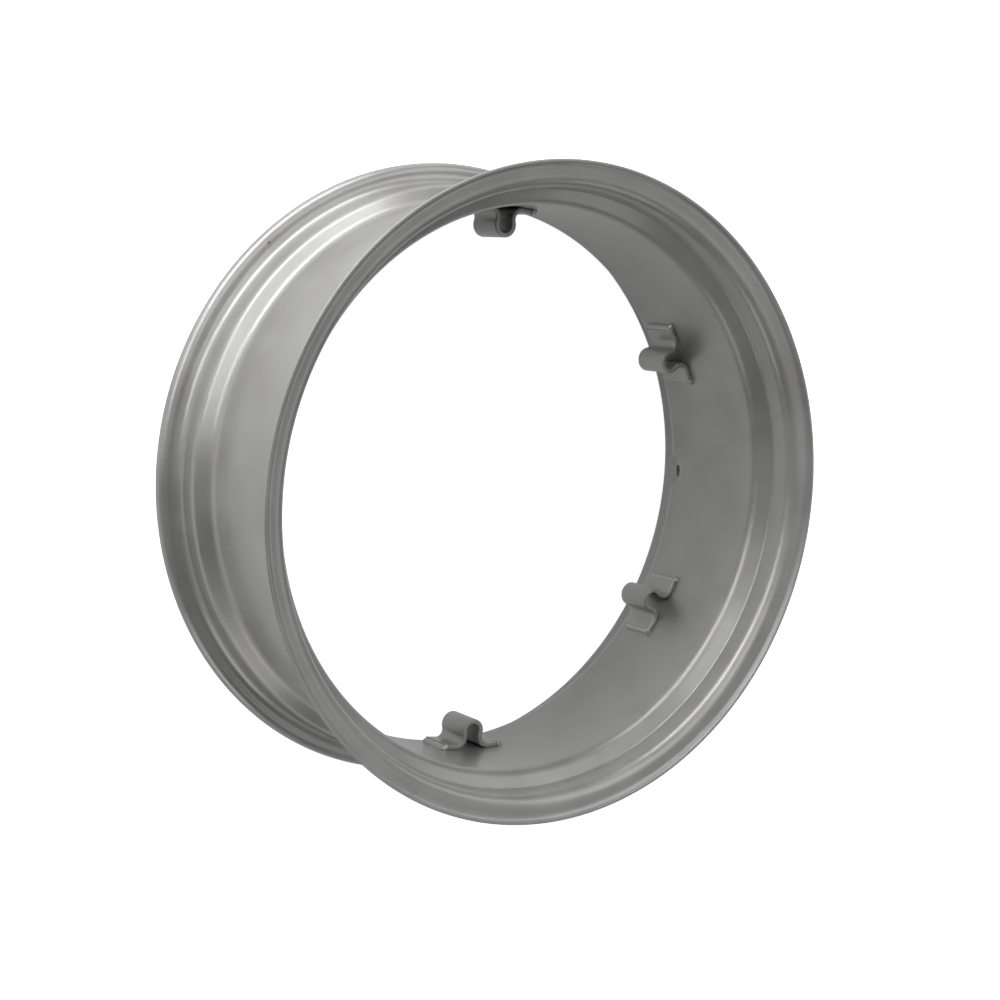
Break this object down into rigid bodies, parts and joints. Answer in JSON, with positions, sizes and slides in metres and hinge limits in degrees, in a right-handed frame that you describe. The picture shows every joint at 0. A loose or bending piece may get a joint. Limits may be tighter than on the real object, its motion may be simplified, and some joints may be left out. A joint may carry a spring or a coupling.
{
  "type": "tractor wheel rim",
  "caption": "Silver painted steel drop-centre tractor wheel rim with curled flanges, a pressed valve hole and bolting loops welded inside the well.",
  "frame": {"origin": "wheel centre: on the wheel axis, midway between the two lips", "axes": "+Z along the wheel axis towards the face seen in the picture, +X from the axis through the valve hole; the rim rests on its back lip"},
  "size_m": [0.76, 0.76, 0.276],
  "materials": {
    "rim_enamel": "satin",
    "loop_enamel": "satin",
    "weld_enamel": "satin"
  },
  "bodies": {
    "root": {"rim_band": "rim_enamel", "mounting_loop_1": "loop_enamel", "loop_1_weld_a": "weld_enamel", "loop_1_weld_b": "weld_enamel", "mounting_loop_2": "loop_enamel", "loop_2_weld_a": "weld_enamel", "loop_2_weld_b": "weld_enamel", "mounting_loop_3": "loop_enamel", "loop_3_weld_a": "weld_enamel", "loop_3_weld_b": "weld_enamel", "mounting_loop_4": "loop_enamel", "loop_4_weld_a": "weld_enamel", "loop_4_weld_b": "weld_enamel", "mounting_loop_5": "loop_enamel", "loop_5_weld_a": "weld_enamel", "loop_5_weld_b": "weld_enamel", "mounting_loop_6": "loop_enamel", "loop_6_weld_a": "weld_enamel", "loop_6_weld_b": "weld_enamel"}
  },
  "joints": []
}
